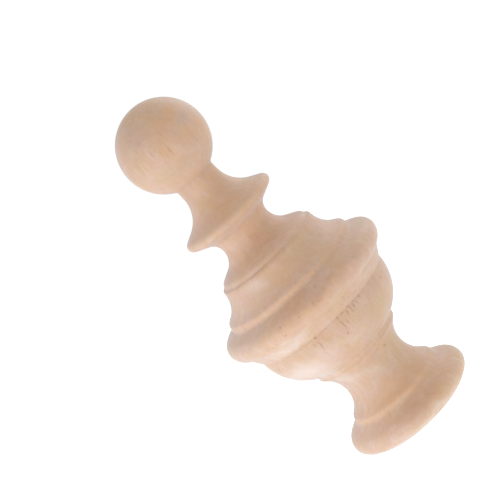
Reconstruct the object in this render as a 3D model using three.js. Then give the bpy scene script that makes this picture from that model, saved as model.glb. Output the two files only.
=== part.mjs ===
// Railing finial: one solid turning of pale wood that stands on its own foot.
// Millimetres, +Z up the turning axis, origin in the middle of the flat underside.
// The mouldings are listed from the foot to the ball, each with its own radii and heights.

import * as THREE from 'three';

// Foot: a roll with a round nose and a straight sloped top, under a flared fillet
const undersideRadius = 19.1;
const footRadius = 22.35;
const footRoundBelow = 3.2; // radius of the nose under the widest point
const footRoundAbove = 3.9; // radius of the nose over it
const footRollBelow = 3.9; // underside up to the widest point
const footRollAbove = 5.4; // widest point up to the fillet
const footFilletBaseRadius = 17.15;
const footFilletTopRadius = 16.1;
const footFilletHeight = 2.15;

// Stem: one long cove, narrowest above its middle, under a thin band
const stemRadius = 11.5;
const stemCoveBelow = 8.35;
const stemCoveAbove = 8.0;
const bandRadius = 15.5;
const bandHeight = 1.75;

// Bowl: a round belly, upright at its edge
const bowlRadius = 24.4;
const bowlHeight = 14.85;

// Lip: a straight chamfer that leads from a fine step on the bowl's edge out under the belt
const lipBaseRadius = 24.55;
const lipTopRadius = 26.9;
const lipHeight = 4.0;

// Belt: the widest roll of the turning, its nose round and its top sloped, under a flared fillet
const beltRadius = 30.0;
const beltRoundBelow = 4.5;
const beltRoundAbove = 3.4;
const beltRollBelow = 4.5;
const beltRollAbove = 4.7;
const shoulderBaseRadius = 24.2;
const shoulderTopRadius = 23.9;
const shoulderHeight = 2.25;

// Bell: a cove that narrows upwards to a fine step
const bellTopRadius = 17.95;
const bellHeight = 8.8;
const stepHeight = 0.25;

// Waist: a rounded bead below, a thin round ring above, and a deep cove between them
const beadRadius = 16.85;
const beadRound = 1.8;
const waistRadius = 9.1;
const waistBelow = 8.95; // bead up to the narrowest point
const waistAbove = 7.55; // narrowest point up to the ring
const waistCoveBelow = 6.25; // radius of the hollow on the bead's side
const waistCoveAbove = 4.6; // radius of the hollow on the ring's side
const ringRadius = 16.6;
const ringRound = 1.65;

// Neck and ball
const flareHeight = 12.4; // ring up to the straight neck
const flareCove = 10.45; // radius of the hollow between them
const neckRadius = 6.9;
const neckHeight = 2.65;
const ballRadius = 14.65;

// Fineness of the facets
const sidesAround = 56;
const chordGap = 0.1; // most that a facet may cut inside its arc

const woodColour = 0xd3b296;
const woodRoughness = 0.62;

// A point of the outline: distance from the axis, height above the underside
const at = (radius, height) => new THREE.Vector2(radius, height);

// How many straight facets follow an arc closely enough
function facetCount(turn, radius) {
  const widest = 2 * Math.acos(1 - chordGap / radius);
  return Math.max(2, Math.ceil(turn / widest));
}

// The arc that leaves one point parallel to the axis and bends over to reach another
function bendOver(from, to) {
  const chord = to.clone().sub(from);
  const turn = 2 * Math.atan2(Math.abs(chord.x), Math.abs(chord.y));
  const radius = chord.lengthSq() / (2 * Math.abs(chord.x));
  const steps = facetCount(turn, radius);
  const points = [from];
  for (let i = 1; i < steps; i += 1) {
    const angle = (turn * i) / steps;
    points.push(at(
      from.x + Math.sign(chord.x) * radius * (1 - Math.cos(angle)),
      from.y + Math.sign(chord.y) * radius * Math.sin(angle),
    ));
  }
  points.push(to);
  return points;
}

// From the widest point of a round nose down the straight slope that leaves it, to its end
function noseToSlope(nose, noseRound, end) {
  const upOrDown = Math.sign(end.y - nose.y);
  const chord = end.clone().sub(nose);
  // The nose can't be rounder than one that reaches the end without a straight slope
  const largest = chord.lengthSq() / (2 * Math.abs(chord.x));
  const round = Math.min(noseRound, largest);
  const across = chord.x + round;
  const rise = Math.abs(chord.y);
  const between = Math.hypot(across, rise);
  // Where the slope leads outward, it starts at the widest point itself
  const turn = Math.max(0, Math.atan2(rise, across) - Math.acos(Math.min(1, round / between)));
  const steps = facetCount(turn, round);
  const points = [];
  for (let i = 0; i <= steps; i += 1) {
    const angle = (turn * i) / steps;
    points.push(at(
      nose.x - round * (1 - Math.cos(angle)),
      nose.y + upOrDown * round * Math.sin(angle),
    ));
  }
  points.push(end);
  return points;
}

// From the widest point of a round nose to the narrowest point of a hollow: an arc of
// the nose, the straight line that touches both, and an arc of the hollow
function noseToHollow(nose, noseRound, hollow, hollowRound) {
  const rise = Math.abs(hollow.y - nose.y);
  const upOrDown = Math.sign(hollow.y - nose.y);
  const reach = nose.x - noseRound - hollow.x;
  // The hollow can't be rounder than one that touches the nose without a straight line
  const largest = (reach * reach + rise * rise - noseRound * noseRound) / (2 * (reach + noseRound));
  const round = Math.min(hollowRound, largest);
  const across = round - reach;
  const between = Math.hypot(across, rise);
  const turn = Math.atan2(rise, across) - Math.acos(Math.min(1, (noseRound + round) / between));
  const points = [];
  const noseSteps = facetCount(turn, noseRound);
  for (let i = 0; i <= noseSteps; i += 1) {
    const angle = (turn * i) / noseSteps;
    points.push(at(
      nose.x - noseRound * (1 - Math.cos(angle)),
      nose.y + upOrDown * noseRound * Math.sin(angle),
    ));
  }
  const hollowSteps = facetCount(turn, round);
  for (let i = hollowSteps; i >= 0; i -= 1) {
    const angle = (turn * i) / hollowSteps;
    points.push(at(
      hollow.x + round * (1 - Math.cos(angle)),
      hollow.y - upOrDown * round * Math.sin(angle),
    ));
  }
  return points;
}

// Half of the ball's outline, from the crease at the neck to the top of the axis
function ballArc(crease) {
  const centreHeight = crease.y + Math.sqrt(ballRadius * ballRadius - crease.x * crease.x);
  const first = Math.PI - Math.asin(crease.x / ballRadius);
  const steps = facetCount(first, ballRadius);
  const points = [crease];
  for (let i = 1; i < steps; i += 1) {
    const angle = first * (1 - i / steps);
    points.push(at(ballRadius * Math.sin(angle), centreHeight + ballRadius * Math.cos(angle)));
  }
  points.push(at(0, centreHeight + ballRadius));
  return points;
}

// Heights of the mouldings, stacked from the underside
const footWidest = at(footRadius, footRollBelow);
const footFilletBase = at(footFilletBaseRadius, footWidest.y + footRollAbove);
const footFilletTop = at(footFilletTopRadius, footFilletBase.y + footFilletHeight);
const stemNarrowest = at(stemRadius, footFilletTop.y + stemCoveBelow);
const bandBase = at(bandRadius, stemNarrowest.y + stemCoveAbove);
const bandTop = at(bandRadius, bandBase.y + bandHeight);
const bowlEdge = at(bowlRadius, bandTop.y + bowlHeight);
const lipBase = at(lipBaseRadius, bowlEdge.y);
const lipTop = at(lipTopRadius, lipBase.y + lipHeight);
const beltWidest = at(beltRadius, lipTop.y + beltRollBelow);
const shoulderBase = at(shoulderBaseRadius, beltWidest.y + beltRollAbove);
const shoulderTop = at(shoulderTopRadius, shoulderBase.y + shoulderHeight);
const bellTop = at(bellTopRadius, shoulderTop.y + bellHeight);
const beadWidest = at(beadRadius, bellTop.y + stepHeight);
const waistNarrowest = at(waistRadius, beadWidest.y + waistBelow);
const ringWidest = at(ringRadius, waistNarrowest.y + waistAbove);
const neckBase = at(neckRadius, ringWidest.y + flareHeight);
const neckTop = at(neckRadius, neckBase.y + neckHeight);

const outline = [
  at(0, 0),
  ...noseToSlope(footWidest, footRoundBelow, at(undersideRadius, 0)).reverse(),
  ...noseToSlope(footWidest, footRoundAbove, footFilletBase),
  ...bendOver(footFilletTop, footFilletBase).reverse(),
  ...bendOver(stemNarrowest, footFilletTop).reverse(),
  ...bendOver(stemNarrowest, bandBase),
  ...bendOver(bowlEdge, bandTop).reverse(),
  lipBase,
  ...noseToSlope(beltWidest, beltRoundBelow, lipTop).reverse(),
  ...noseToSlope(beltWidest, beltRoundAbove, shoulderBase),
  ...bendOver(shoulderTop, shoulderBase).reverse(),
  ...bendOver(bellTop, shoulderTop).reverse(),
  ...noseToHollow(beadWidest, beadRound, waistNarrowest, waistCoveBelow),
  ...noseToHollow(ringWidest, ringRound, waistNarrowest, waistCoveAbove).reverse(),
  ...noseToHollow(ringWidest, ringRound, neckBase, flareCove),
  ...ballArc(neckTop),
].filter((point, i, all) => i === 0 || point.distanceTo(all[i - 1]) > 1e-6);

const wood = new THREE.MeshStandardMaterial({
  color: woodColour,
  roughness: woodRoughness,
  metalness: 0,
});

const turning = new THREE.LatheGeometry(outline, sidesAround);
turning.rotateX(Math.PI / 2); // the lathe turns about Y, and the finial stands up along Z

const finial = new THREE.Mesh(turning, wood);
finial.name = 'finial';

const group = new THREE.Group();
group.add(finial);

export default group;
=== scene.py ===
# Turned beech railing finial on a pale studio floor, seen as in the photo
# Metres, +Z up the turning axis, origin in the middle of the flat underside
import bpy
import bmesh
import math
from mathutils import Matrix, Vector


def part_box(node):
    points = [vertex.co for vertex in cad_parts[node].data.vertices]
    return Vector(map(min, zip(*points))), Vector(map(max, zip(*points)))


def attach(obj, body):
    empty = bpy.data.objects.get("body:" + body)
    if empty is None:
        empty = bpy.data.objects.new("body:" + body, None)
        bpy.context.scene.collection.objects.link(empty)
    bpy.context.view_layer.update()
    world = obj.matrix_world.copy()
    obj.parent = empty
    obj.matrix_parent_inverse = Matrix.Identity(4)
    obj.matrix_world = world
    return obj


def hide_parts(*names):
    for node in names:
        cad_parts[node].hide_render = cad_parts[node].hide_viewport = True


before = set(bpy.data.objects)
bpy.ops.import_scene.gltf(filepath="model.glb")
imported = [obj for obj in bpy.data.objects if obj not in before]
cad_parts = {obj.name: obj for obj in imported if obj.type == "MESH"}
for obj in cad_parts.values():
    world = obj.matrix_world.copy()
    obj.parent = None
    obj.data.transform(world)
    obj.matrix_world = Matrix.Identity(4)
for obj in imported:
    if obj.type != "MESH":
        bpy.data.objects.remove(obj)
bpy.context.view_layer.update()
print("frame loaded:", ", ".join(sorted(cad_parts)))

# Camera
# The photo tips the finial over, its ball to the upper left, and looks slightly down on it
camera = {
    "distance": 0.4534,  # from the turning axis
    "height": 0.1486,  # above the underside
    "pitch": 9.54,  # degrees down
    "axisTilt": 46.13,  # degrees between the photo's rows and the turning axis
    "axisOffset": 10.17,  # pixels from the frame's centre to the axis, to the finial's right
    "pixelsPerMetre": 3335.0,  # scale at the axis
    "framePixels": 500,
    "sensor": 36.0,  # millimetres
    "nearest": 0.01,
    "farthest": 50.0,
}


def makeCamera(view):
    focalPixels = view["pixelsPerMetre"] * view["distance"]
    data = bpy.data.cameras.new("camera")
    data.sensor_width = view["sensor"]
    data.lens = focalPixels / view["framePixels"] * view["sensor"]
    data.clip_start = view["nearest"]
    data.clip_end = view["farthest"]
    pitch = math.radians(view["pitch"])
    right = Vector((1, 0, 0))
    up = Vector((0, math.sin(pitch), math.cos(pitch)))
    ahead = Vector((0, math.cos(pitch), -math.sin(pitch)))
    ahead = (ahead * focalPixels - right * view["axisOffset"]).normalized()  # the axis stands off centre
    right = ahead.cross(up).normalized()
    up = right.cross(ahead)
    tilt = math.radians(view["axisTilt"])
    frameRight = right * math.sin(tilt) - up * math.cos(tilt)  # roll, so the ball goes to the upper left
    frameUp = right * math.cos(tilt) + up * math.sin(tilt)
    turn = Matrix((frameRight, frameUp, -ahead)).transposed()
    thing = bpy.data.objects.new("camera", data)
    thing.matrix_world = Matrix.Translation((0, -view["distance"], view["height"])) @ turn.to_4x4()
    bpy.context.collection.objects.link(thing)
    bpy.context.scene.camera = thing


makeCamera(camera)
print("camera placed")


# Shader maths
# One socket of a node tree: sums on it add the nodes
class Wire:
    def __init__(self, shade, socket):
        self.shade = shade
        self.socket = socket

    def sum(self, operation, *others):
        inputs = dict(enumerate((self, *others)))
        return self.shade.node("ShaderNodeMath", {"operation": operation}, inputs)

    def __add__(self, other):
        return self.sum("ADD", other)

    def __radd__(self, other):
        return self.sum("ADD", other)

    def __sub__(self, other):
        return self.sum("SUBTRACT", other)

    def __rsub__(self, other):
        return self.shade.value(other, "SUBTRACT", self)

    def __mul__(self, other):
        return self.sum("MULTIPLY", other)

    def __rmul__(self, other):
        return self.sum("MULTIPLY", other)

    def __truediv__(self, other):
        return self.sum("DIVIDE", other)

    def __pow__(self, other):
        return self.sum("POWER", other)

    def root(self):
        return self.sum("SQRT")

    def magnitude(self):
        return self.sum("ABSOLUTE")

    def fraction(self):
        return self.sum("FRACT")

    def above(self, edge):
        return self.sum("GREATER_THAN", edge)

    def angleFrom(self, other):
        return self.sum("ARCTAN2", other)

    # 0 at the first value, 1 at the second, smooth between them
    def ramp(self, none, full):
        span = {"Value": self, "From Min": none, "From Max": full}
        return self.shade.node("ShaderNodeMapRange", {"interpolation_type": "SMOOTHSTEP"}, span)


# The tree of one material
class Shade:
    def __init__(self, tree):
        self.tree = tree
        self.tree.nodes.clear()

    # Any node: its type, its settings, and the values or links of its sockets
    def node(self, kind, settings=None, inputs=None, output=0):
        made = self.tree.nodes.new(kind)
        for name, value in (settings or {}).items():
            setattr(made, name, value)
        for name, value in (inputs or {}).items():
            socket = made.inputs[name]
            if isinstance(value, Wire):
                self.tree.links.new(value.socket, socket)
            else:
                socket.default_value = value
        return Wire(self, made.outputs[output]) if made.outputs else None

    # A number on the left of a sum
    def value(self, number, operation, wire):
        return self.node("ShaderNodeMath", {"operation": operation}, {0: number, 1: wire})

    def vector(self, x, y, z):
        return self.node("ShaderNodeCombineXYZ", None, {"X": x, "Y": y, "Z": z})

    def axes(self, wire):
        parts = self.node("ShaderNodeSeparateXYZ", None, {0: wire}).socket.node
        return [Wire(self, socket) for socket in parts.outputs]

    # Noise that changes at its own rate along each axis; the shift gives it a pattern of its own
    def noise(self, place, rates, detail, rough, shift):
        x, y, z = [part * rate for part, rate in zip(place, rates)]
        inputs = {"Vector": self.vector(x + shift, y, z), "Scale": 1.0, "Detail": detail, "Roughness": rough}
        return self.node("ShaderNodeTexNoise", None, inputs)

    # Colour one where the mask is 0, colour two where it is 1
    def mix(self, mask, one, two):
        inputs = {0: mask, 6: one, 7: two}  # by number, because sockets of other types share their names
        return self.node("ShaderNodeMix", {"data_type": "RGBA"}, inputs, 2)


def colour(red, green, blue):  # from the 0 to 255 values of a picture
    def linear(level):
        level = level / 255
        return level / 12.92 if level <= 0.04045 else ((level + 0.055) / 1.055) ** 2.4
    return (linear(red), linear(green), linear(blue), 1.0)


# Beech
# Everything is solid in the wood: rings and rays are laid out round the tree's own pith,
# which lies behind the finial, so that the front is cut flat and the sides show long grain
beech = {
    "yellow": colour(212, 179, 148),  # the bare wood wanders between these two
    "pink": colour(214, 178, 155),
    "warm": colour(218, 174, 137),  # orange stains
    "deep": colour(199, 154, 124),  # darker stains, and painted shade on the upper slopes of the belt and foot
    "grey": colour(203, 174, 156),  # pinkish grey stains
    "olive": colour(203, 177, 143),
    "rust": colour(205, 150, 108),
    "pale": colour(232, 217, 207),  # bleached stains, and painted highlights on the lit left side and the lip, and a painted reflection of the floor on the foot's lower edge
    # rubbed wood, and the painted highlights on the two fillets
    "rubbedAndHighlight": colour(232, 189, 152),
    "late": colour(188, 146, 117),  # late wood, at the end of each year's ring
    "rayAndCreaseShade": colour(158, 108, 72),  # the short dark dashes, and the painted shade in the creases
    "roughness": 0.5,
    "roughnessSpread": 0.12,
    "shine": 0.23,
    "bloom": 0.52,  # pale nap that sanding leaves, seen at the rims
    "bloomTint": colour(206, 231, 245),
    "bloomRoughness": 0.3,
    "bump": 0.5,
    "grainDepth": 0.00003,  # metres
    "fibreHeight": 0.6,  # shares of that depth
    "rayDepth": 1.2,

    # How the tree grew, its lengths in millimetres
    "pith": (14.0, 52.0),  # where its heart stood, to the right of the axis and behind it
    "trunkWander": (9.0, 5.0),  # the trunk isn't quite straight: how far it strays across and in depth
    "aroundRadius": 75.0,  # turns the angle round the pith into a length
    "ringWidth": 2.3,
    "ringDrift": 1.8,  # how unevenly the years grew
    "lateWood": (0.35, 0.93),  # shares of a year between which the late wood darkens
    "ringStrength": 0.07,
    "fibreShows": (0.42, 0.72),  # the noise between which the fibres come to full strength
    "fibreStrength": 0.18,
    "everyRay": {
        "depthRate": 0.04,  # cells for each millimetre: they run far into the wood
        "shortest": 0.45,  # shares of the half length
        "longest": 1.35,
        "palest": 0.45,  # share of the full strength
        "core": 0.35,  # share of the half width that is fully dark
    },
    "smallRays": {
        "cell": (1.5, 3.4),  # room for one ray, around and up
        "half": (0.11, 0.75),  # its half width and half length
        "share": 0.72,  # of the cells that hold one
        "strength": 0.24,
        "shift": (0.0, 0.0),  # moves the cells, around and up
    },
    "largeRays": {
        "cell": (5.2, 9.5),
        "half": (0.24, 2.1),
        "share": 0.42,
        "strength": 0.25,
        "shift": (31.0, 17.0),
    },
    "rayPatches": (0.46, 0.6),  # the noise between which large rays appear

    # Noise: changes for each millimetre along the three axes, detail, roughness, shift
    "blockNoise": {  # laid out across, in depth and up
        "wander": ((0.035, 0.035, 0.018), 1.0, 0.5, 0.0),
        "blotches": ((0.09, 0.09, 0.07), 3.0, 0.6, 0.0),
        "tints": ((0.11, 0.11, 0.09), 2.0, 0.6, 40.0),
        "hues": ((0.16, 0.16, 0.13), 3.0, 0.6, 11.0),
        "mottle": ((0.33, 0.33, 0.22), 3.0, 0.65, 0.0),
        "wobble": ((0.7, 0.7, 0.9), 2.0, 0.7, 0.0),
    },
    "grownNoise": {  # laid out round the pith, away from it and up
        "drift": ((0.05, 0.16, 0.02), 2.0, 0.5, 0.0),
        "streaks": ((0.85, 0.5, 0.035), 3.0, 0.6, 0.0),
        "fibres": ((5.0, 5.0, 0.28), 2.0, 0.65, 0.0),
        "rayPlaces": ((0.09, 0.05, 0.06), 1.0, 0.5, 0.0),
    },

    # Tints over the yellow: tint, its noise, where that shows nothing and where all of it, strength
    "layers": [
        ("pink", "hues", (0.38, 0.62), 1.0),
        ("warm", "blotches", (0.5, 0.72), 0.5),
        ("grey", "tints", (0.52, 0.74), 0.5),
        ("warm", "mottle", (0.5, 0.7), 0.26),
        ("pale", "mottle", (0.55, 0.3), 0.156),
        ("pale", "streaks", (0.5, 0.75), 0.15),
    ],
    "frontEdge": (-4.0, 2.0),  # depth behind the axis between which the front's marks fade out

    # Broad stains on the front: tint, place across and up in millimetres, reach across and up, strength. The
    # pale ones on the lit left side, the lip and the bowl are painted highlights, the pale band at the
    # foot's lower edge is a painted reflection of the floor, and the wide deep bands on the upper slopes of
    # the belt and foot are painted shade
    "stainAndLightBend": (14.0, 10.0),  # how far noise bends them, across and up
    "stainsAndLight": [
        ("warm", (5.2, 120.5), (7.5, 4.5), 0.75),  # ball
        ("grey", (-5.5, 121.5), (6.5, 5.0), 0.6),
        ("grey", (9.6, 116.5), (4.0, 3.5), 0.7),
        ("warm", (0.5, 113.5), (4.0, 7.0), 0.5),
        ("grey", (0.0, 106.5), (9.0, 3.5), 0.3),
        ("olive", (-4.0, 107.0), (9.0, 5.0), 0.4),
        ("warm", (8.2, 112.6), (3.2, 2.8), 0.6),
        ("pale", (-2.6, 98.0), (2.6, 4.0), 0.1),  # neck and ring
        ("warm", (3.0, 97.0), (3.0, 6.0), 0.6),
        ("olive", (5.0, 96.0), (3.5, 6.0), 0.3),
        ("rubbedAndHighlight", (0.0, 98.0), (4.0, 2.8), 0.3),
        ("warm", (0.0, 89.0), (9.0, 3.0), 0.6),
        ("warm", (0.0, 84.0), (12.0, 1.8), 0.5),
        ("warm", (1.5, 77.5), (6.5, 5.0), 0.65),  # waist and bell; the pale stains on their left are painted highlights
        ("rust", (0.5, 74.8), (7.5, 3.4), 0.3),
        ("pale", (-5.5, 78.0), (3.0, 3.6), 0.17),
        ("warm", (1.0, 64.5), (12.0, 5.0), 0.65),
        ("pale", (-10.0, 66.0), (5.0, 3.5), 0.3),
        ("grey", (13.0, 64.0), (4.0, 4.0), 0.4),
        ("olive", (5.0, 65.0), (9.0, 5.0), 0.35),
        ("deep", (0.0, 55.4), (24.0, 2.6), 0.45),  # belt; the wide deep band on its upper slope is painted shade
        ("warm", (0.0, 53.0), (22.0, 2.4), 0.35),
        ("grey", (-20.0, 56.0), (8.0, 3.5), 0.3),
        ("pale", (25.0, 56.5), (6.0, 3.5), 0.12),
        ("deep", (0.8, 53.4), (2.4, 1.6), 0.4),
        ("deep", (-7.6, 53.5), (1.8, 1.4), 0.3),
        ("rubbedAndHighlight", (-1.0, 52.8), (16.0, 1.8), 0.3),
        ("pale", (-14.0, 47.6), (11.0, 2.8), 0.5),  # lip; the pale stains on it are painted highlights
        ("pale", (15.0, 47.0), (8.0, 2.4), 0.25),
        ("olive", (2.0, 48.4), (14.0, 2.2), 0.3),
        ("warm", (-4.0, 42.0), (10.0, 2.6), 0.4),  # bowl; the pale stains on its left are painted highlights
        ("pale", (-14.0, 36.5), (10.0, 7.0), 0.7),
        ("grey", (17.0, 42.0), (7.0, 5.0), 0.5),
        ("olive", (11.0, 36.0), (9.0, 6.5), 0.5),
        ("pale", (-12.0, 31.5), (7.0, 4.5), 0.35),
        ("deep", (-7.0, 41.6), (2.6, 2.6), 0.3),
        ("pale", (2.0, 35.5), (8.0, 4.0), 0.15),
        ("pale", (-7.0, 24.0), (4.5, 5.0), 0.5),  # stem and foot; the pale stains on the stem's left are painted highlights
        ("warm", (0.0, 16.0), (8.0, 4.0), 0.3),
        ("pale", (-2.0, 22.0), (5.0, 5.0), 0.22),
        ("olive", (7.5, 24.0), (4.5, 5.0), 0.4),
        ("warm", (0.0, 12.2), (15.0, 4.0), 0.8),
        # painted shade on the foot roll's upper slope
        ("deep", (2.0, 7.0), (20.0, 3.0), 0.55),
        ("pale", (18.0, 8.0), (6.0, 4.0), 0.12),
        # a painted reflection of the floor along the foot's lower edge
        ("pale", (0.0, 1.6), (23.0, 2.4), 0.4),
        ("pale", (-9.5, 27.0), (4.0, 5.0), 0.35),
        ("warm", (9.0, 5.0), (5.0, 3.5), 0.4),
        ("rubbedAndHighlight", (0.0, 15.0), (10.0, 2.2), 0.3),
    ],

    # Dark dashes and specks along the grain: place across and up, half width and half length, strength
    "dashBend": 1.6,  # how far noise bends them
    "dashCore": 0.1,  # share of the half width that is fully dark
    "dashes": [
        ((-7.2, 44.2), (0.6, 0.6), 0.5),  # bowl, on and under the tool line
        ((-7.3, 41.2), (0.6, 2.4), 0.36),
        ((-8.6, 42.6), (0.5, 1.4), 0.2),
        ((-3.0, 44.3), (0.7, 0.5), 0.26),
        ((1.5, 44.2), (0.6, 0.6), 0.44),
        ((1.6, 41.6), (0.45, 2.9), 0.4),
        ((0.8, 38.4), (0.6, 0.7), 0.44),
        ((3.0, 41.0), (0.45, 1.6), 0.2),
        ((3.6, 44.2), (0.8, 0.5), 0.34),
        ((5.0, 43.2), (0.45, 1.3), 0.32),
        ((6.4, 43.0), (0.45, 1.9), 0.36),
        ((6.0, 44.4), (0.7, 0.5), 0.42),
        ((7.6, 43.1), (0.5, 1.5), 0.36),
        ((8.4, 44.2), (0.7, 0.5), 0.4),
        ((9.1, 43.2), (0.45, 1.2), 0.3),
        ((10.6, 43.9), (0.5, 0.8), 0.26),
        ((5.2, 46.4), (0.35, 0.9), 0.16),  # lip
        ((6.6, 46.6), (0.35, 0.9), 0.16),
        ((8.0, 46.5), (0.35, 0.9), 0.16),
        ((9.4, 46.3), (0.35, 0.9), 0.14),
        ((19.4, 41.8), (0.5, 1.5), 0.24),  # sides of the bowl
        ((-21.7, 41.6), (0.6, 1.5), 0.24),
        ((-12.2, 54.4), (0.5, 0.5), 0.42),  # belt
        ((-12.6, 51.6), (0.5, 0.6), 0.36),
        ((-6.2, 53.4), (0.5, 0.5), 0.34),
        ((7.2, 53.6), (0.5, 0.6), 0.32),
        ((3.1, 56.2), (0.5, 0.5), 0.24),
        ((17.1, 54.0), (0.5, 0.8), 0.22),
        ((1.0, 53.0), (0.6, 1.2), 0.22),
        ((2.2, 52.6), (0.45, 1.0), 0.2),
        ((-0.4, 53.4), (0.45, 1.0), 0.18),
        ((0.4, 112.6), (0.5, 3.2), 0.26),  # ball
        ((-4.3, 114.8), (0.55, 2.2), 0.2),
        ((-2.2, 113.2), (0.5, 2.0), 0.12),
        ((1.6, 117.4), (0.5, 1.8), 0.14),
        ((-3.0, 110.0), (0.5, 1.6), 0.12),
        ((-6.3, 121.6), (0.7, 0.9), 0.14),
        ((-4.9, 119.8), (0.6, 0.8), 0.12),
        ((6.3, 24.8), (0.8, 0.9), 0.3),  # stem
        ((1.6, 26.2), (0.6, 0.7), 0.18),
        ((9.6, 26.0), (0.5, 0.7), 0.18),
    ],

    # Lines round the turning: tint, height, half width, strength. The dark ones in the creases are painted
    # shade, the first darkens the tool line's groove, and the light ones on the band and the two fillets are
    # painted highlights
    "lines": [
        ("rayAndCreaseShade", 44.4, 0.8, 0.2),
        # painted shade at the foot of the band, and a painted highlight on the band
        ("rayAndCreaseShade", 27.9, 0.6, 0.08),
        ("pale", 28.8, 0.6, 0.2),
        # painted shade in the creases under the ball and under the bead
        ("rayAndCreaseShade", 100.4, 0.9, 0.16),
        ("rayAndCreaseShade", 68.2, 0.9, 0.2),
        # painted highlights on the two fillets
        ("rubbedAndHighlight", 58.9, 1.1, 0.8),
        ("rubbedAndHighlight", 10.7, 1.1, 0.6),
    ],
    # where the lines show: in patches, strongest left of the middle and fading to the sides, because the
    # painted highlights and painted shade in them follow the light from the left
    "lineWearAndLight": {
        "bend": 0.5,  # how far noise bends them
        "patches": (0.42, 0.62),  # the noise between which the lines come to full strength
        "least": 0.4,  # share that is left of them elsewhere
        "middle": -5.0,  # where they are strongest, across
        "fade": (6.0, 21.0),  # distance from there over which they fade
        "ends": 0.3,  # share that is left of them at the sides
    },
}


# One soft oval: its strength in the middle, 0 from its edge outwards
def softSpot(s, place, centre, reach, strength, core=0.0):
    offset = s.node("ShaderNodeVectorMath", {"operation": "SUBTRACT"}, {0: place, 1: (*centre, 0)})
    offset = s.node("ShaderNodeVectorMath", {"operation": "DIVIDE"}, {0: offset, 1: (*reach, 1)})
    far = s.node("ShaderNodeVectorMath", {"operation": "LENGTH"}, {0: offset}, "Value")
    span = {"Value": far, "From Min": core, "From Max": 1.0, "To Min": strength, "To Max": 0.0}
    return s.node("ShaderNodeMapRange", {"interpolation_type": "SMOOTHSTEP"}, span)


# A place in the block laid out round the pith instead: around it, away from it and up
def roundPith(block, wander, look):
    x, y, z = block
    pithAcross, pithBehind = look["pith"]
    strayAcross, strayAway = look["trunkWander"]
    across = x - pithAcross + (wander - 0.5) * strayAcross
    away = pithBehind - y + (wander - 0.5) * strayAway
    depth = (across ** 2.0 + away ** 2.0).root()
    return across.angleFrom(away) * look["aroundRadius"], depth, z


# Spindle-shaped rays, each in a cell of its own
def rayMarks(s, grown, look, kind):
    rays = {**look["everyRay"], **look[kind]}
    around, depth, up = grown
    cellWidth, cellLength = rays["cell"]
    halfWidth, halfLength = rays["half"]
    shiftAround, shiftUp = rays["shift"]
    around, up = (around + shiftAround) / cellWidth, (up + shiftUp) / cellLength
    place = s.vector(around, depth * rays["depthRate"], up)
    cells = s.node("ShaderNodeTexVoronoi", {"feature": "F1"}, {"Vector": place, "Scale": 1.0}).socket.node
    centre = Wire(s, cells.outputs["Position"])
    chance, length, tone = s.axes(Wire(s, cells.outputs["Color"]))
    offset = s.node("ShaderNodeVectorMath", {"operation": "SUBTRACT"}, {0: place, 1: centre})
    across, along = s.axes(offset)[::2]
    reach = halfLength * (rays["shortest"] + length * (rays["longest"] - rays["shortest"]))
    far = ((across * cellWidth / halfWidth) ** 2.0 + (along * cellLength / reach) ** 2.0).root()
    spindle = 1.0 - far.ramp(rays["core"], 1.0)
    tone = rays["palest"] + tone * (1.0 - rays["palest"])
    return spindle * chance.above(1.0 - rays["share"]) * tone * rays["strength"]


# The soft tints of the bare wood, with the stains on its front, among them painted highlights and painted
# shade
def tintedWood(s, block, noise, front, look):
    wood = look["yellow"]
    for tint, name, shows, strength in look["layers"]:
        wood = s.mix(noise[name].ramp(*shows) * strength, wood, look[tint])
    across, up = block[::2]
    bendAcross, bendUp = look["stainAndLightBend"]
    across = across + (noise["blotches"] - 0.5) * bendAcross
    up = up + (noise["tints"] - 0.5) * bendUp
    bent = s.vector(across, up, 0.0)
    stainedAndLit = wood
    for tint, centre, reach, strength in look["stainsAndLight"]:
        stainedAndLit = s.mix(softSpot(s, bent, centre, reach, strength), stainedAndLit, look[tint])
    return s.mix(front, wood, stainedAndLit)


# Year rings that darken slowly and end sharply, fibres and rays
def grainedWood(s, wood, depth, noise, rays, look):
    year = (depth / look["ringWidth"] + noise["drift"] * look["ringDrift"]).fraction()
    lateStart, lateEnd = look["lateWood"]
    lateWood = year.ramp(lateStart, lateEnd) * (1.0 - year.ramp(lateEnd, 1.0))
    wood = s.mix(lateWood * look["ringStrength"], wood, look["late"])
    wood = s.mix(noise["fibres"].ramp(*look["fibreShows"]) * look["fibreStrength"], wood, look["late"])
    for marks in rays:
        wood = s.mix(marks, wood, look["rayAndCreaseShade"])
    return wood


# The dashes on the front, and the lines round the mouldings: a darker tool line, painted shade in the
# creases, and painted highlights on the band and the fillets
def markedWood(s, wood, block, wobble, front, look):
    across, up = block[::2]
    bent = s.vector(across + (wobble - 0.5) * look["dashBend"], up, 0.0)
    marks = 0.0
    for centre, reach, strength in look["dashes"]:
        marks = marks + softSpot(s, bent, centre, reach, strength, look["dashCore"])
    wood = s.mix(marks * front, wood, look["rayAndCreaseShade"])

    wearAndLight = look["lineWearAndLight"]
    patchy = wearAndLight["least"] + wobble.ramp(*wearAndLight["patches"]) * (1.0 - wearAndLight["least"])
    faded = 1.0 - (across - wearAndLight["middle"]).magnitude().ramp(*wearAndLight["fade"]) * (1.0 - wearAndLight["ends"])
    bentUp = up + (wobble - 0.5) * wearAndLight["bend"]
    for tint, height, half, strength in look["lines"]:
        line = 1.0 - (bentUp - height).magnitude().ramp(0.0, half)
        wood = s.mix(line * patchy * faded * strength, wood, look[tint])
    return wood


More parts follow.
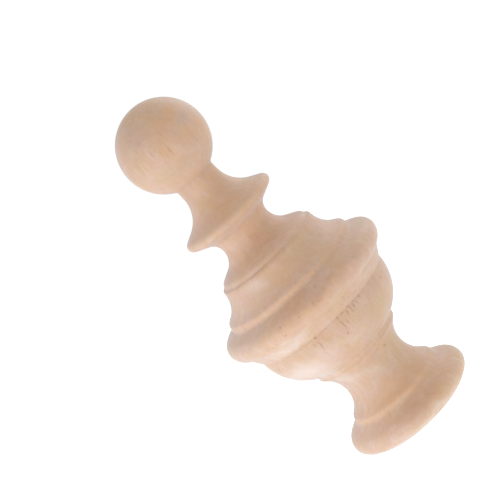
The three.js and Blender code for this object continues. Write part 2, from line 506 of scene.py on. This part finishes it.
def beechMaterial(look):
    material = bpy.data.materials.new("bare beech")
    material.use_nodes = True
    s = Shade(material.node_tree)
    place = s.node("ShaderNodeTexCoord", None, None, "Object")
    block = [part * 1000.0 for part in s.axes(place)]  # millimetres from here on
    noise = {name: s.noise(block, *how) for name, how in look["blockNoise"].items()}
    grown = roundPith(block, noise["wander"], look)
    noise.update({name: s.noise(grown, *how) for name, how in look["grownNoise"].items()})
    front = 1.0 - block[1].ramp(*look["frontEdge"])

    smallRays = rayMarks(s, grown, look, "smallRays")
    largeRays = rayMarks(s, grown, look, "largeRays") * noise["rayPlaces"].ramp(*look["rayPatches"])
    wood = tintedWood(s, block, noise, front, look)
    wood = grainedWood(s, wood, grown[1], noise, (smallRays, largeRays), look)
    wood = markedWood(s, wood, block, noise["wobble"], front, look)

    height = noise["fibres"] * look["fibreHeight"] - (smallRays + largeRays) * look["rayDepth"]
    relief = {"Strength": look["bump"], "Distance": look["grainDepth"], "Height": height}
    skin = s.node("ShaderNodeBsdfPrincipled", None, {
        "Base Color": wood,
        "Roughness": look["roughness"] + (noise["fibres"] - 0.5) * look["roughnessSpread"],
        "Normal": s.node("ShaderNodeBump", None, relief),
        "Specular IOR Level": look["shine"],
        "Sheen Weight": look["bloom"],
        "Sheen Tint": look["bloomTint"],
        "Sheen Roughness": look["bloomRoughness"],
    })
    s.node("ShaderNodeOutputMaterial", None, {"Surface": skin})
    return material


# Finial
# The mouldings in millimetres, from the foot to the ball: the same sizes as the CAD solid
finial = {
    "undersideRadius": 19.1,
    "footRadius": 22.35,
    "footRoundBelow": 3.2,
    "footRoundAbove": 3.9,
    "footRollBelow": 3.9,
    "footRollAbove": 5.4,
    "footFilletBaseRadius": 17.15,
    "footFilletTopRadius": 16.1,
    "footFilletHeight": 2.15,
    "stemRadius": 11.5,
    "stemCoveBelow": 8.35,
    "stemCoveAbove": 8.0,
    "bandRadius": 15.5,
    "bandHeight": 1.75,
    "bowlRadius": 24.4,
    "bowlHeight": 14.85,
    "lipBaseRadius": 24.55,
    "lipTopRadius": 26.9,
    "lipHeight": 4.0,
    "beltRadius": 30.0,
    "beltRoundBelow": 4.5,
    "beltRoundAbove": 3.4,
    "beltRollBelow": 4.5,
    "beltRollAbove": 4.7,
    "shoulderBaseRadius": 24.2,
    "shoulderTopRadius": 23.9,
    "shoulderHeight": 2.25,
    "bellTopRadius": 17.95,
    "bellHeight": 8.8,
    "stepHeight": 0.25,
    "beadRadius": 16.85,
    "beadRound": 1.8,
    "waistRadius": 9.1,
    "waistBelow": 8.95,
    "waistAbove": 7.55,
    "waistCoveBelow": 6.25,
    "waistCoveAbove": 4.6,
    "ringRadius": 16.6,
    "ringRound": 1.65,
    "flareHeight": 12.4,
    "flareCove": 10.45,
    "neckRadius": 6.9,
    "neckHeight": 2.65,
    "ballRadius": 14.65,
    "lineDepth": 0.12,  # fine line that the tool left where the bowl meets the lip
    "lineWidth": 0.3,
    "sanding": 0.36,  # how far the sandpaper has softened the edges
    "filletSanding": 0.6,  # and the two fillets, which are rounder
    "creaseSanding": 0.42,  # and the crease under the bead
    "rounderWithin": 1.0,  # height from such an edge that is as rounded as the edge itself
    "rounderUntil": 3.0,  # height from it where the rest begins
    "sandingStep": 0.05,  # between the points that the sanding averages
    "longestStep": 0.9,  # between the rings of the mesh, on its plain stretches
    "sharpestTurn": 4.0,  # degrees from one ring to the next, on its edges
    "sidesAround": 240,
}


# An arc that leaves a point parallel to the axis; side and way are 1 or -1, for out or in, up or down
def arc(start, radius, turn, side, way, pieces):
    angles = [turn * i / pieces for i in range(pieces + 1)]
    across = [start[0] + side * radius * (1 - math.cos(a)) for a in angles]
    along = [start[1] + way * radius * math.sin(a) for a in angles]
    return list(zip(across, along))


# The arc that leaves one point parallel to the axis and bends over to reach another
def bendOver(start, end, pieces=24):
    across, along = end[0] - start[0], end[1] - start[1]
    turn = 2 * math.atan2(abs(across), abs(along))
    radius = (across ** 2 + along ** 2) / (2 * abs(across))
    return arc(start, radius, turn, math.copysign(1, across), math.copysign(1, along), pieces)


# From the widest point of a round nose down the straight slope that leaves it, to its end
def noseToSlope(nose, noseRound, end, pieces=16):
    across, rise = end[0] - nose[0], abs(end[1] - nose[1])
    way = math.copysign(1, end[1] - nose[1])
    radius = min(noseRound, (across ** 2 + rise ** 2) / (2 * abs(across)))
    reach = across + radius
    turn = math.atan2(rise, reach) - math.acos(min(1, radius / math.hypot(reach, rise)))
    return arc(nose, radius, turn, -1, way, pieces) + [end]


# From the widest point of a round nose to the narrowest point of a hollow
def noseToHollow(nose, noseRound, hollow, hollowRound, pieces=16):
    rise = abs(hollow[1] - nose[1])
    way = math.copysign(1, hollow[1] - nose[1])
    reach = nose[0] - noseRound - hollow[0]
    largest = (reach ** 2 + rise ** 2 - noseRound ** 2) / (2 * (reach + noseRound))
    radius = min(hollowRound, largest)
    across = radius - reach
    turn = math.atan2(rise, across) - math.acos(min(1, (noseRound + radius) / math.hypot(across, rise)))
    return arc(nose, noseRound, turn, -1, way, pieces) + arc(hollow, radius, turn, 1, -way, pieces)[::-1]


# Half of the ball's outline, from the crease at the neck to the top of the axis
def ballArc(crease, ball, pieces=60):
    centre = crease[1] + math.sqrt(ball ** 2 - crease[0] ** 2)
    first = math.pi - math.asin(crease[0] / ball)
    angles = [first * (1 - i / pieces) for i in range(pieces + 1)]
    return [(ball * math.sin(a), centre + ball * math.cos(a)) for a in angles]


# The outline, and the heights of the rounder edges with how far each is sanded
def finialOutline(size):
    height = 0.0

    def rise(step, radius):  # the next station up the turning
        nonlocal height
        height += size[step]
        return (size[radius], height)

    footWidest = rise("footRollBelow", "footRadius")
    footFilletBase = rise("footRollAbove", "footFilletBaseRadius")
    footFilletTop = rise("footFilletHeight", "footFilletTopRadius")
    stemNarrowest = rise("stemCoveBelow", "stemRadius")
    bandBase = rise("stemCoveAbove", "bandRadius")
    bandTop = rise("bandHeight", "bandRadius")
    bowlEdge = rise("bowlHeight", "bowlRadius")
    lipTop = rise("lipHeight", "lipTopRadius")
    beltWidest = rise("beltRollBelow", "beltRadius")
    shoulderBase = rise("beltRollAbove", "shoulderBaseRadius")
    shoulderTop = rise("shoulderHeight", "shoulderTopRadius")
    bellTop = rise("bellHeight", "bellTopRadius")
    beadWidest = rise("stepHeight", "beadRadius")
    waistNarrowest = rise("waistBelow", "waistRadius")
    ringWidest = rise("waistAbove", "ringRadius")
    neckBase = rise("flareHeight", "neckRadius")
    neckTop = rise("neckHeight", "neckRadius")

    toolLine = [  # a small groove with its floor at the bowl's edge
        (bowlEdge[0], bowlEdge[1] - size["lineWidth"] / 2),
        (bowlEdge[0] - size["lineDepth"], bowlEdge[1]),
        (size["lipBaseRadius"], bowlEdge[1] + size["lineWidth"] / 2),
    ]
    outline = [
        (0.0, 0.0),
        *noseToSlope(footWidest, size["footRoundBelow"], (size["undersideRadius"], 0.0))[::-1],
        *noseToSlope(footWidest, size["footRoundAbove"], footFilletBase),
        *bendOver(footFilletTop, footFilletBase)[::-1],
        *bendOver(stemNarrowest, footFilletTop)[::-1],
        *bendOver(stemNarrowest, bandBase),
        *bendOver((bowlEdge[0], toolLine[0][1]), bandTop)[::-1],
        *toolLine,
        *noseToSlope(beltWidest, size["beltRoundBelow"], lipTop)[::-1],
        *noseToSlope(beltWidest, size["beltRoundAbove"], shoulderBase),
        *bendOver(shoulderTop, shoulderBase)[::-1],
        *bendOver(bellTop, shoulderTop)[::-1],
        *noseToHollow(beadWidest, size["beadRound"], waistNarrowest, size["waistCoveBelow"]),
        *noseToHollow(ringWidest, size["ringRound"], waistNarrowest, size["waistCoveAbove"])[::-1],
        *noseToHollow(ringWidest, size["ringRound"], neckBase, size["flareCove"]),
        *ballArc(neckTop, size["ballRadius"]),
    ]
    rounder = {
        footFilletTop[1]: size["filletSanding"],
        shoulderTop[1]: size["filletSanding"],
        bellTop[1]: size["creaseSanding"],
    }
    return outline, rounder


# Points at an even step along the outline
def evenPoints(outline, step):
    points = [Vector(p) for p in outline]
    walked, even = 0.0, []
    for here, there in zip(points, points[1:]):
        length = (there - here).length
        while walked < length:
            even.append(here.lerp(there, walked / length))
            walked += step
        walked -= length
    return even + [points[-1]]


# The outline, each point averaged with its neighbours as sanding does to an edge
def sandedOutline(outline, rounder, size):
    step = size["sandingStep"]
    even = evenPoints(outline, step)
    sanded = list(even)

    def pointsWithin(sanding):  # neighbours that count on each side: three times the sanding
        return int(3 * sanding / step)

    ends = pointsWithin(size["filletSanding"])  # the underside's middle and the ball's pole stay as they are
    for i in range(ends, len(even) - ends):
        nearest = min(rounder, key=lambda height: abs(even[i].y - height))
        gap = abs(even[i].y - nearest)
        share = (size["rounderUntil"] - gap) / (size["rounderUntil"] - size["rounderWithin"])
        sanding = size["sanding"] + (rounder[nearest] - size["sanding"]) * max(0.0, min(1.0, share))
        near = range(-pointsWithin(sanding), pointsWithin(sanding) + 1)
        weights = [math.exp(-0.5 * (j * step / sanding) ** 2) for j in near]
        total = sum((even[i + j] * weight for j, weight in zip(near, weights)), Vector((0, 0)))
        sanded[i] = total / sum(weights)
    return sanded


# Keeps the points that the form needs: close together on an edge, far apart on a plain stretch
def meshSections(outline, longestStep, sharpestTurn):
    kept = [outline[0]]
    direction = outline[1] - outline[0]
    for here, there in zip(outline[1:], outline[2:]):
        turned = math.degrees(direction.angle(there - here, 0))
        if turned >= sharpestTurn or (here - kept[-1]).length >= longestStep:
            kept.append(here)
            direction = there - here
    return kept + [outline[-1]]


# The sections turned round the axis, closed at the middle of the foot and at the pole
def turnedMesh(sections, sides, scale, low, high):
    mesh = bmesh.new()
    foot = mesh.verts.new((0, 0, low))
    pole = mesh.verts.new((0, 0, high))
    angles = [math.tau * i / sides for i in range(sides)]
    rings = []
    for point in sections[1:-1]:
        radius, height = point.x * scale, low + point.y * scale
        rings.append([mesh.verts.new((radius * math.cos(a), radius * math.sin(a), height)) for a in angles])
    for i in range(sides):
        j = (i + 1) % sides
        mesh.faces.new((foot, rings[0][j], rings[0][i]))
        mesh.faces.new((pole, rings[-1][i], rings[-1][j]))
        for lower, upper in zip(rings, rings[1:]):
            mesh.faces.new((lower[i], lower[j], upper[j], upper[i]))
    for face in mesh.faces:
        face.smooth = True
    data = bpy.data.meshes.new("finial turning")
    mesh.to_mesh(data)
    mesh.free()
    return data


def makeFinial(size, material):
    low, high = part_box("finial")
    outline, rounder = finialOutline(size)
    scale = (high[2] - low[2]) / outline[-1][1]  # metres in a millimetre of the mouldings
    sanded = sandedOutline(outline, rounder, size)
    sections = meshSections(sanded, size["longestStep"], size["sharpestTurn"])
    data = turnedMesh(sections, size["sidesAround"], scale, low[2], high[2])
    data.materials.append(material)
    piece = bpy.data.objects.new("finial_turning", data)
    bpy.context.collection.objects.link(piece)
    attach(piece, "root")
    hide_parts("finial")
    print("finial turned:", len(data.polygons), "faces, a millimetre is", round(scale, 7))


makeFinial(finial, beechMaterial(beech))

# Floor and light
studio = {
    "floorSize": 12.0,
    "floorGrey": 0.45,
    "floorRoughness": 0.9,
    "floorGlow": 0.95,  # a lit table, white to its edges and brightest under the finial
    "nearGlow": (0.93, 1.0, 1.02, 1.0),
    "farGlow": 0.78,  # share of the glow away from the finial
    "poolFrom": 0.03,  # metres
    "poolTo": 0.09,
    "skyLight": 0.62,
    "skySeen": 1.1,
    "cards": {  # softboxes: place, where it looks, side in metres, watts, colour
        "front left": ((-0.42, -0.42, 0.12), (0, 0, 0.06), 0.4, 0.33, (1.0, 0.93, 0.82)),
        "low left": ((-0.14, -0.06, 0.035), (0, 0, 0.035), 0.12, 0.08, (0.8, 0.95, 1.22)),
        "above": ((0.0, -0.3, 0.8), (0, 0, 0.06), 0.6, 0.42, (1.0, 0.93, 0.86)),
        "back right": ((0.35, 0.32, 0.3), (0, 0, 0.06), 0.4, 0.82, (0.95, 1.0, 1.1)),
        "back left": ((-0.35, 0.32, 0.3), (0, 0, 0.06), 0.4, 0.36, (0.85, 1.0, 1.3)),
    },
}


def floorMaterial(look):
    material = bpy.data.materials.new("pale floor")
    material.use_nodes = True
    s = Shade(material.node_tree)
    x, y = s.axes(s.node("ShaderNodeTexCoord", None, None, "Object"))[:2]
    away = (x ** 2.0 + y ** 2.0).root().ramp(look["poolFrom"], look["poolTo"])
    grey, far = look["floorGrey"], look["farGlow"]
    top = s.node("ShaderNodeBsdfPrincipled", None, {
        "Base Color": (grey, grey, grey, 1),
        "Roughness": look["floorRoughness"],
        "Specular IOR Level": 0.0,
        "Emission Color": s.mix(away, look["nearGlow"], (far, far, far, 1)),
        "Emission Strength": look["floorGlow"],
    })
    s.node("ShaderNodeOutputMaterial", None, {"Surface": top})
    return material


def makeFloor(look):
    half = look["floorSize"] / 2
    corners = [(-half, -half, 0), (half, -half, 0), (half, half, 0), (-half, half, 0)]
    mesh = bpy.data.meshes.new("floor")
    mesh.from_pydata(corners, [], [(0, 1, 2, 3)])
    mesh.materials.append(floorMaterial(look))
    floor = bpy.data.objects.new("floor", mesh)
    bpy.context.collection.objects.link(floor)


def makeSky(look):
    world = bpy.data.worlds.new("studio")
    bpy.context.scene.world = world
    world.use_nodes = True
    s = Shade(world.node_tree)
    seen = s.node("ShaderNodeLightPath", None, None, "Is Camera Ray")  # the sky itself, not its light
    light = s.node("ShaderNodeBackground", None, {"Color": (1, 1, 1, 1), "Strength": look["skyLight"]})
    backdrop = s.node("ShaderNodeBackground", None, {"Color": (1, 1, 1, 1), "Strength": look["skySeen"]})
    both = s.node("ShaderNodeMixShader", None, {0: seen, 1: light, 2: backdrop})
    s.node("ShaderNodeOutputWorld", None, {"Surface": both})


def makeCards(look):
    for name, (place, aim, side, watts, tint) in look["cards"].items():
        data = bpy.data.lights.new(name, "AREA")
        data.size = side
        data.energy = watts
        data.color = tint
        card = bpy.data.objects.new(name, data)
        card.location = place
        card.rotation_euler = (Vector(aim) - Vector(place)).to_track_quat("-Z", "Y").to_euler()
        card.visible_camera = False
        bpy.context.collection.objects.link(card)


makeFloor(studio)
makeSky(studio)
makeCards(studio)
bpy.context.scene.view_settings.view_transform = "Standard"
print("floor and lights set")
